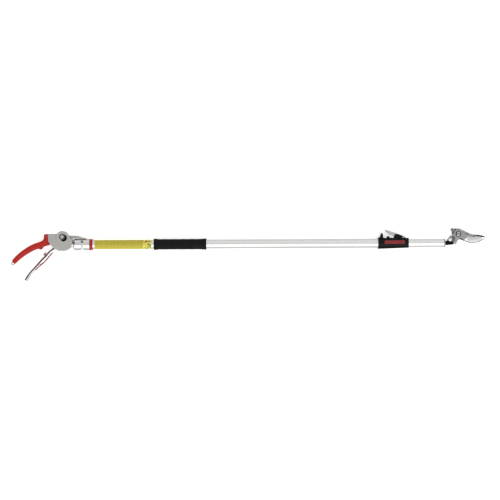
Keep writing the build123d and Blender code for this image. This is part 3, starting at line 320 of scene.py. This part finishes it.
# Each slot's finish, the factor on its recorded colour, and the finish's settings
ALL_WAYS = (900.0, 900.0, 900.0)
FINISHES = {
    "housing_cast": (cast_metal, 0.99, {"roughness": 0.40, "metallic": 0.45}),
    "latch_cast": (cast_metal, 0.85, {"roughness": 0.36, "metallic": 0.55}),
    "cam_silver": (cast_metal, 1.0, {"roughness": 0.38, "metallic": 0.7, "grain": 7000.0}),
    "head_cast": (cast_metal, 1.0, {"roughness": 0.38, "metallic": 0.85, "grain": 6500.0}),
    "plate_matte": (cast_metal, 1.0, {"roughness": 0.50, "metallic": 0.85, "grain": 12000.0}),
    "sleeve_polished": (brushed, 1.12, {"roughness": 0.22, "scale": (4200.0, 80.0, 80.0)}),
    "ring_aluminium": (brushed, 1.0, {"roughness": 0.34, "scale": (3800.0, 90.0, 90.0)}),
    "tang_steel": (brushed, 1.0, {"roughness": 0.35, "scale": (2600.0, 300.0, 300.0)}),
    "bright_steel": (brushed, 1.0, {"roughness": 0.24, "scale": (700.0, 2600.0, 700.0)}),
    "hook_steel": (brushed, 0.55, {"roughness": 0.30, "scale": (900.0, 3600.0, 900.0)}),
    "bolt_steel": (brushed, 1.25, {"roughness": 0.24, "scale": (2200.0, 500.0, 500.0)}),
    "blade_steel": (brushed, 0.9, {"roughness": 0.20, "scale": (600.0, 4200.0, 600.0)}),
    "zinc_steel": (brushed, 1.0, {"roughness": 0.32, "scale": ALL_WAYS}),
    "spring_steel": (brushed, 1.0, {"roughness": 0.28, "scale": ALL_WAYS}),
    "dark_steel": (brushed, 1.0, {"roughness": 0.42, "scale": ALL_WAYS, "metallic": 0.8}),
    "tube_aluminium": (drawn_tube, 1.0, {}),
    "lever_chrome": (chrome, 0.92, {"roughness": 0.12}),
    "grip_vinyl": (dipped_vinyl, 0.95, {}),
    "foam_black": (foam, 1.0, {}),
    "label_film": (label_film, 1.0, {}),
    "cord_braid": (braid, 1.0, {}),
    "pad_red": (moulded, 1.0, {"roughness": 0.40, "grain": 2600.0}),
    "catch_red": (moulded, 1.0, {"roughness": 0.38, "grain": 2600.0}),
    "collar_red": (moulded, 1.0, {"roughness": 0.33, "grain": 2200.0, "depth": 20 * MICRON}),
    "bush_nylon": (moulded, 1.0, {"roughness": 0.42, "grain": 1600.0, "depth": 30 * MICRON,
                                  "spread": 0.05}),
    "clamp_plastic": (moulded, 0.34, {"roughness": 0.40, "grain": 3600.0, "spread": 0.3,
                                      "gloss": 0.15}),
    "inlay_red": (moulded, 0.96, {"roughness": 0.50, "grain": 2400.0, "depth": 60 * MICRON,
                                  "spread": 0.18, "gloss": 0.08}),
    "shoe_rubber": (moulded, 1.0, {"roughness": 0.75, "grain": 1800.0, "depth": 100 * MICRON}),
    "strip_black": (moulded, 1.0, {"roughness": 0.60, "grain": 1800.0, "depth": 100 * MICRON}),
    "neck_plastic": (moulded, 0.6, {"roughness": 0.42, "gloss": 0.1}),
    "reel_plastic": (moulded, 1.0, {"roughness": 0.5, "gloss": 0.15}),
}
MATERIALS = {slot: finish(slot, tinted(COLOURS[slot], factor), **settings)
             for slot, (finish, factor, settings) in FINISHES.items()}


def dress_cad():
    """Put each carried-over CAD node in its slot's finish."""
    for name, node in NODES.items():
        node.data.materials.clear()
        node.data.materials.append(MATERIALS[SLOTS[name]])


# ---------------------------------------------------------------- pieces and meshes

def new_piece(name, mesh, body, slot, sharp=35.0):
    """Piece from a mesh, in its slot's finish, smooth but for its sharp edges.
    A piece that bends between two bodies rides on none."""
    mesh.validate()
    mesh.materials.clear()
    mesh.materials.append(MATERIALS[slot])
    for polygon in mesh.polygons:
        polygon.use_smooth = True
    mesh.set_sharp_from_angle(angle=radians(sharp))
    piece = bpy.data.objects.new(name, mesh)
    SCENE.collection.objects.link(piece)
    if body:
        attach(piece, body)
    return piece


def made_mesh(name, verts, faces):
    mesh = bpy.data.meshes.new(name)
    mesh.from_pydata([tuple(vert) for vert in verts], [], faces)
    return mesh


def lattice_faces(rows, columns):
    """Faces of a grid of points whose columns close into a ring."""
    faces = []
    for row in range(rows - 1):
        for column in range(columns):
            following = (column + 1) % columns
            faces.append((row * columns + column, row * columns + following,
                          (row + 1) * columns + following, (row + 1) * columns + column))
    return faces


def end_caps(rows, columns):
    """Faces that close the first and the last ring of such a grid."""
    return [tuple(reversed(range(columns))),
            tuple(range((rows - 1) * columns, rows * columns))]


def tube_mesh(name, points, radius):
    """Round wire along a list of points, with closed ends."""
    sides = 8
    verts = []
    up = Vector((0, 0, 1))
    for index, point in enumerate(points):
        before, after = points[max(index - 1, 0)], points[min(index + 1, len(points) - 1)]
        way = (after - before).normalized()
        side = up - way * up.dot(way)
        up = side.normalized() if side.length > 1e-4 else way.orthogonal().normalized()
        other = way.cross(up)
        for step in range(sides):
            angle = tau * step / sides
            verts.append(point + radius * (up * cos(angle) + other * sin(angle)))
    faces = lattice_faces(len(points), sides) + end_caps(len(points), sides)
    return made_mesh(name, verts, faces)


def turned_mesh(name, profile, segments):
    """Mesh of a closed profile of (x, radius) turned about the pole's axis."""
    verts = [(x, AXIS_Y + radius * sin(tau * step / segments),
              AXIS_Z + radius * cos(tau * step / segments))
             for step in range(segments) for x, radius in profile]
    count = len(profile)
    faces = []
    for step in range(segments):
        after = (step + 1) % segments
        for index in range(count):
            following = (index + 1) % count
            faces.append((step * count + index, after * count + index,
                          after * count + following, step * count + following))
    return made_mesh(name, verts, faces)


def baked(name, mesh, *steps):
    """Mesh after a weld and some modifiers, worked out once; a step is its kind and settings."""
    body = bpy.data.objects.new(name, mesh)
    SCENE.collection.objects.link(body)
    weld = body.modifiers.new("weld", "WELD")
    weld.merge_threshold = MICRON
    for kind, settings in steps:
        made = body.modifiers.new(kind, kind)
        for key, value in settings.items():
            setattr(made, key, value)
    bpy.context.view_layer.update()
    seen = body.evaluated_get(bpy.context.evaluated_depsgraph_get())
    result = bpy.data.meshes.new_from_object(seen)
    bpy.data.objects.remove(body)
    result.name = name
    return result


def rounded(name, node, voxel, passes):
    """A plain node's shape in an even skin of small squares, smoothed a few times."""
    return baked(name, NODES[node].data.copy(),
                 ("REMESH", {"mode": "VOXEL", "voxel_size": voxel}),
                 ("SMOOTH", {"factor": 0.5, "iterations": passes}))


def eased(share):
    """Share from 0 to 1 with a gentle start and end."""
    return share * share * (3 - 2 * share)


# ---------------------------------------------------------------- grips

def build_foam():
    """Foam sleeve: flared, rolled ends and a slightly uneven barrel."""
    low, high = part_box("foam_grip")
    tube_low, tube_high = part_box("outer_tube")
    bore = (tube_high.z - tube_low.z) / 2 + 0.05 * MM
    flare = (high.z - low.z) / 2
    barrel = flare - 1.5 * MM
    flare_length, lip_length, lip_drop = 15 * MM, 1.8 * MM, 1.2 * MM
    chamfer_in, chamfer_up = 0.3 * MM, 0.5 * MM
    steps = 96
    outer = []
    for step in range(steps + 1):
        share = eased(step / steps)
        x = low.x + (high.x - low.x) * share
        from_end = min(x - low.x, high.x - x)
        swell = max(0.0, 1 - from_end / flare_length) ** 1.2
        lip = max(0.0, 1 - from_end / lip_length) ** 2
        wave = 0.10 * MM * sin(share * 37) + 0.07 * MM * sin(share * 83 + 1)
        outer.append((x, barrel + (flare - barrel) * swell - lip_drop * lip + wave * (1 - swell)))
    profile = outer + [(high.x, bore + chamfer_up), (high.x - chamfer_in, bore),
                       (low.x + chamfer_in, bore), (low.x, bore + chamfer_up)]
    piece = new_piece("foam_sleeve", turned_mesh("foam_sleeve", profile, 72), "pole",
                      "foam_black", 60.0)
    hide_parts("foam_grip")


def build_vinyl_grip():
    """Dipped vinyl grip: the plain block's shape with a full, rounded section."""
    mesh = rounded("vinyl_grip", "fixed_grip", 0.9 * MM, 32)
    piece = new_piece("vinyl_grip", mesh, "handle", "grip_vinyl", 180.0)
    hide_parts("fixed_grip")


# ---------------------------------------------------------------- lever

# The rolled edges stop short of the axle's eyes. Below the pole's axis, the finger edge is
# rolled as far as ROLL_END and has a narrow lip from LIP_START on.
EYE_CLEAR = 9 * MM
ROLL_END = 52 * MM
LIP_START = 50 * MM


def outline_tree(node, level, wanted):
    """Search tree of points along the outline of a node's flat face at a level.
    Each stretch is kept or not by its middle and its way out of the face."""
    spacing = 0.2 * MM
    work = bmesh.new()
    work.from_mesh(NODES[node].data)
    bmesh.ops.remove_doubles(work, verts=work.verts, dist=MICRON)
    points = []
    for edge in work.edges:
        flat = [face for face in edge.link_faces if abs(face.normal.z) > 0.99]
        start, end = (vert.co for vert in edge.verts)
        if len(flat) != 1 or abs(start.z - level) > 10 * MICRON:
            continue
        place = (start + end) / 2
        out = (end - start).cross(Vector((0, 0, 1))).normalized()
        if out.dot(place - flat[0].calc_center_median()) < 0:
            out = -out
        if wanted(place, out):
            cuts = max(1, int((end - start).length / spacing))
            points += [start.lerp(end, share / cuts) for share in range(cuts + 1)]
    work.free()
    tree = kdtree.KDTree(len(points))
    for index, point in enumerate(points):
        tree.insert(point, index)
    tree.balance()
    return tree


def rolled_edge(place, out):
    """The lever's upper edge all along, and its finger edge near the housing."""
    if (place - BOSS).xy.length < EYE_CLEAR:
        return False
    return out.y - out.x > 0.3 or place.y > AXIS_Y - ROLL_END


def turned_lip(place, out):
    """The lever's finger edge away from the housing."""
    return out.y - out.x < -0.3 and place.y < AXIS_Y - LIP_START


def build_lever():
    """Pressed lever: a channel whose two cheeks roll inward near their edges."""
    low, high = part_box("trigger_lever")
    mesh = rounded("pressed_lever", "trigger_lever", 0.5 * MM, 6)
    cheek = 3 * MM
    rolls = ((rolled_edge, 5.6 * MM, 2.0 * MM), (turned_lip, 2.6 * MM, 1.3 * MM))
    for level, facing in ((high.z, 1), (low.z, -1)):
        for wanted, reach, fall in rolls:
            tree = outline_tree("trigger_lever", level, wanted)
            for vert in mesh.vertices:
                if (vert.co.z - level) * facing > -cheek:
                    distance = tree.find(Vector((vert.co.x, vert.co.y, level)))[2]
                    if distance < reach:
                        vert.co.z -= facing * fall * (1 - distance / reach) ** 2.4
    piece = new_piece("pressed_lever", mesh, "lever", "lever_chrome", 180.0)
    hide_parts("trigger_lever")


# ---------------------------------------------------------------- blade

def belly_line(mesh, level, first_x, highest_y):
    """Even points along the blade's belly, from its root to its tip, with their inward ways."""
    spacing = 0.3 * MM
    places = []
    for edge in mesh.edges:
        start, end = (mesh.vertices[index].co for index in edge.vertices)
        if max(abs(start.z - level), abs(end.z - level)) > 10 * MICRON:
            continue
        cuts = max(1, int((end - start).length / spacing))
        places += [start.lerp(end, share / cuts) for share in range(cuts + 1)]
    places = [place for place in places if place.x > first_x and place.y < highest_y]
    steps = 80
    gap = (max(place.x for place in places) - first_x) / steps
    rows = []
    for step in range(steps + 1):
        x = first_x + gap * step
        rows.append(Vector((x, min(place.y for place in places if abs(place.x - x) < gap), level)))
    for smoothing in range(4):
        rows = [rows[0]] + [(rows[i - 1] + rows[i] * 2 + rows[i + 1]) / 4
                            for i in range(1, steps)] + [rows[-1]]
    ways = []
    for index in range(steps + 1):
        along = rows[min(index + 1, steps)] - rows[max(index - 1, 0)]
        ways.append(Vector((-along.y, along.x, 0)).normalized())
    return rows, ways


def grinder_mesh(rows, ways, width, depth):
    """Closed wedge whose under face is the hollow bevel that the grinding wheel leaves.
    The bevel narrows and gets shallow towards the blade's root and tip."""
    across = [-0.2, 0.0, 0.12, 0.25, 0.38, 0.5, 0.62, 0.75, 0.88, 1.0]
    clearance, height = 0.03 * MM, 1.5 * MM
    root_fade, tip_fade = 0.16, 0.10
    verts = []
    for index, (place, way) in enumerate(zip(rows, ways)):
        share = index / (len(rows) - 1)
        fade = eased(min(1.0, share / root_fade, (1 - share) / tip_fade))
        wide = width * (0.25 + 0.75 * fade)
        for part in across:
            fall = depth * fade * max(0.0, 1 - part) ** 1.7 - clearance
            verts.append(place + way * wide * part - Vector((0, 0, fall)))
        for part in (across[-1], across[0]):
            verts.append(place + way * wide * part + Vector((0, 0, height)))
    columns = len(across) + 2
    return made_mesh("grinder", verts,
                     lattice_faces(len(rows), columns) + end_caps(len(rows), columns))


def build_blade():
    """Cutting blade: matte flat with a broad, polished, ground bevel along the belly."""
    bevel_start, bevel_top = HEAD.x + 13 * MM, HEAD.y - 4 * MM
    bevel_width, bevel_depth = 15.0 * MM, 1.6 * MM
    flat_facing = 0.9995
    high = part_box("cutting_blade")[1]
    plain = NODES["cutting_blade"].data.copy()
    rows, ways = belly_line(plain, high.z, bevel_start, bevel_top)
    tool = bpy.data.objects.new("grinder", grinder_mesh(rows, ways, bevel_width, bevel_depth))
    SCENE.collection.objects.link(tool)
    mesh = baked("ground_blade", plain,
                 ("BOOLEAN", {"operation": "DIFFERENCE", "solver": "EXACT", "object": tool}))
    bpy.data.objects.remove(tool)
    piece = new_piece("ground_blade", mesh, "blade", "blade_steel", 30.0)
    mesh.materials.append(MATERIALS["tang_steel"])
    for polygon in mesh.polygons:
        polygon.use_smooth = 0.5 < polygon.normal.z < flat_facing
        if abs(polygon.normal.z) > flat_facing:
            polygon.material_index = 1
    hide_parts("cutting_blade")


# ---------------------------------------------------------------- return spring

# The eyes that it hooks into, in the blade's tail and in the neck's lug
EAR = HEAD + Vector((-15.4, -2.4, 0.0)) * MM
LUG = Vector((HEAD.x - 28.2 * MM, AXIS_Y + 7.8 * MM, AXIS_Z))
SPRING_R = 2.4 * MM
WIRE_R = 0.5 * MM
HOOK_R = 1.5 * MM


def hook_points(centre, way, side, angles):
    """Points round a hook's open ring, in the plane of two ways."""
    return [centre + HOOK_R * (way * sin(angle) + side * cos(angle)) for angle in angles]


def build_blade_spring():
    """Return spring with a hook at each end; it stretches between the neck and the blade."""
    way = (EAR - LUG).normalized()
    length = (EAR - LUG).length
    side = Vector((0, 0, 1))
    across = way.cross(side)
    ends = 3.6 * MM
    hook_inset = 0.9 * MM
    hook_turn = 0.80 * tau
    hook_steps = 14
    turns, steps_a_turn = 11.5, 20
    end_taper = 6

    opening = [hook_turn * step / hook_steps for step in range(1, hook_steps + 1)]
    points = hook_points(LUG + way * hook_inset, way, side,
                         [angle - pi / 2 for angle in reversed(opening)])
    steps = int(turns * steps_a_turn)
    for step in range(steps + 1):
        share = step / steps
        angle = tau * turns * share
        grow = min(1.0, end_taper * share, end_taper * (1 - share))
        radius = SPRING_R * (0.35 + 0.65 * grow)
        points.append(LUG + way * (ends + (length - 2 * ends) * share)
                      + radius * (side * cos(angle) + across * sin(angle)))
    points += hook_points(EAR - way * hook_inset, way, side,
                          [angle + pi / 2 for angle in opening])
    mesh = tube_mesh("return_spring", points, WIRE_R)
    piece = new_piece("return_spring", mesh, None, "spring_steel", 80.0)
    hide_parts("blade_spring")
    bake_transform(piece)


# ---------------------------------------------------------------- worn edges, and painted shade in openings

SOFTENED = ["housing_front", "housing_back", "clamp_body", "clamp_inlay", "pivot_bolt",
            "grip_tang", "finger_pad", "lever_lock", "collar", "neck", "end_ring",
            "tube_plug", "axle_screw", "cord_clevis", "pivot_nut", "guide_bush"]
BOLT_HEAD_R = 5.6 * MM
SCREW_HEAD_R = 3.9 * MM
WINDOW_R = 14 * MM
BOLT_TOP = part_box("pivot_bolt")[1].z
BOSS_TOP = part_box("housing_front")[1].z
PLATE_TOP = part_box("hook_blade")[0].z


def soften(node):
    """Small worn edge on a CAD node, made by modifiers only."""
    piece = NODES[node]
    weld = piece.modifiers.new("weld", "WELD")
    weld.merge_threshold = MICRON
    bevel = piece.modifiers.new("edge", "BEVEL")
    bevel.width = 0.35 * MM
    bevel.segments = 2
    bevel.limit_method = "ANGLE"
    bevel.angle_limit = radians(35.0)
    bevel.use_clamp_overlap = False
    bevel.harden_normals = True


def paint(node, material, chosen):
    """Give a second finish to the CAD faces whose centre and normal pass the test."""
    mesh = NODES[node].data
    mesh.materials.append(material)
    index = len(mesh.materials) - 1
    for polygon in mesh.polygons:
        if chosen(polygon.center, polygon.normal):
            polygon.material_index = index


def in_bolt_slot(place, normal):
    """Walls and floor of the slot across the bolt's head."""
    return (0.3 * MM < BOLT_TOP - place.z < 1.6 * MM and abs(place.y - HEAD.y) < 1.0 * MM
            and (place - HEAD).xy.length < BOLT_HEAD_R)


def in_window(place, normal):
    """Walls of the housing's crescent window."""
    return (place.z < BOSS_TOP - 0.3 * MM and abs(normal.z) < 0.3
            and (place - BOSS).xy.length < WINDOW_R)


def in_head_opening(place, normal):
    """The head's two holes, its groove and the step along its edge."""
    return (0.05 * MM < PLATE_TOP - place.z < 3.7 * MM and normal.z > -0.3
            and -19 * MM < place.x - HEAD.x < -6 * MM)


def paint_details():
    """Flanges duller than the turned heads on them, and painted shade: black paint on the walls and floors of
    openings, where shade falls.
    """
    # Painted shade: a near-black finish that stands in for the shade inside slots, windows, holes and grooves
    shade_paint = Shader("painted_shade_black", (0.012, 0.012, 0.012), 0.7)
    shade_paint.bump(shade_paint.noise(2500.0), depth=50 * MICRON, strength=0.5)
    paint("pivot_bolt", MATERIALS["dark_steel"],
          lambda place, normal: (place - HEAD).xy.length > BOLT_HEAD_R)
    paint("axle_screw", MATERIALS["dark_steel"],
          lambda place, normal: (place - BOSS).xy.length > SCREW_HEAD_R)
    # Painted shade in the bolt's slot, on the walls of the housing's window, and in the head's holes, groove and
    # step
    paint("pivot_bolt", shade_paint.material, in_bolt_slot)
    paint("housing_front", shade_paint.material, in_window)
    paint("head_body", shade_paint.material, in_head_opening)


# ---------------------------------------------------------------- floor, lights, camera

def lit_floor():
    """Pale floor, lit a little from below as a light table is."""
    half = 6.0
    glow = 0.62
    mesh = made_mesh("floor", [(-half, -half, 0), (half, -half, 0), (half, half, 0),
                               (-half, half, 0)], [(0, 1, 2, 3)])
    floor = bpy.data.objects.new("floor", mesh)
    SCENE.collection.objects.link(floor)
    shader = Shader("floor", (0.93, 0.93, 0.93), 0.9, Emission_Color=(1, 1, 1, 1),
                    Emission_Strength=glow)
    shader.colour(shader.mix(shader.noise(2.0, detail=2.0), (0.92, 0.92, 0.92),
                             (0.94, 0.94, 0.94)))
    mesh.materials.append(shader.material)
    floor.visible_glossy = False


def softbox(name, place, size, power):
    """Area light of a given size that looks at the origin."""
    light = bpy.data.lights.new(name, "AREA")
    light.shape = "RECTANGLE"
    light.size, light.size_y = size
    light.energy = power
    lamp = bpy.data.objects.new(name, light)
    lamp.location = place
    lamp.rotation_euler = (-Vector(place)).to_track_quat("-Z", "Y").to_euler()
    SCENE.collection.objects.link(lamp)


def set_world():
    """Studio walls: even light, dimmer overhead and low down, with two dark corners
    that give the bright metal its black reflections."""
    stops = ((0.0, 0.66), (0.15, 0.86), (0.92, 0.86), (0.985, 0.70))
    corners = (((-0.75, 0.5, 0.7), 26, 37), ((0.75, -0.5, 0.35), 22, 34))
    corner_light = 0.04

    world = bpy.data.worlds.new("studio")
    world.use_nodes = True
    tree = world.node_tree
    coords = tree.nodes.new("ShaderNodeTexCoord")
    split = tree.nodes.new("ShaderNodeSeparateXYZ")
    tree.links.new(coords.outputs["Generated"], split.inputs[0])
    height = tree.nodes.new("ShaderNodeValToRGB")
    elements = height.color_ramp.elements
    while len(elements) < len(stops):
        elements.new(0.6)
    for element, (position, value) in zip(elements, stops):
        element.position = position
        element.color = (value, value, value, 1)
    tree.links.new(split.outputs["Z"], height.inputs["Fac"])

    light = height.outputs["Color"]
    for way, inner, outer in corners:
        nearness = tree.nodes.new("ShaderNodeVectorMath")
        nearness.operation = "DOT_PRODUCT"
        nearness.inputs[1].default_value = Vector(way).normalized()
        tree.links.new(coords.outputs["Generated"], nearness.inputs[0])
        shade = tree.nodes.new("ShaderNodeMapRange")
        shade.interpolation_type = "SMOOTHSTEP"
        shade.inputs["From Min"].default_value = cos(radians(outer))
        shade.inputs["From Max"].default_value = cos(radians(inner))
        shade.inputs["To Min"].default_value = 1.0
        shade.inputs["To Max"].default_value = corner_light
        tree.links.new(nearness.outputs["Value"], shade.inputs["Value"])
        dimmed = tree.nodes.new("ShaderNodeVectorMath")
        dimmed.operation = "SCALE"
        tree.links.new(light, dimmed.inputs[0])
        tree.links.new(shade.outputs["Result"], dimmed.inputs["Scale"])
        light = dimmed.outputs["Vector"]
    tree.links.new(light, tree.nodes["Background"].inputs["Color"])
    SCENE.world = world


def set_camera():
    """Camera straight above the tool, as it is seen from its side, with a slight roll."""
    height = 4.4
    view_width = 1.320
    right, down = 0.0050, 0.0161
    data = bpy.data.cameras.new("camera")
    data.lens = 120.0
    data.sensor_width = view_width / height * data.lens
    data.clip_end = 50.0
    camera = bpy.data.objects.new("camera", data)
    camera.location = (right, AXIS_Y - down, AXIS_Z + height)
    camera.rotation_euler = (0, 0, radians(-0.27))
    SCENE.collection.objects.link(camera)
    SCENE.camera = camera


dress_cad()
build_foam()
build_vinyl_grip()
build_lever()
build_blade()
build_blade_spring()
for name in SOFTENED:
    soften(name)
paint_details()

lit_floor()
softbox("key", place=(0, -1.9, 2.3), size=(5.0, 2.2), power=42.0)
set_world()
set_camera()
SCENE.view_settings.view_transform = "Standard"
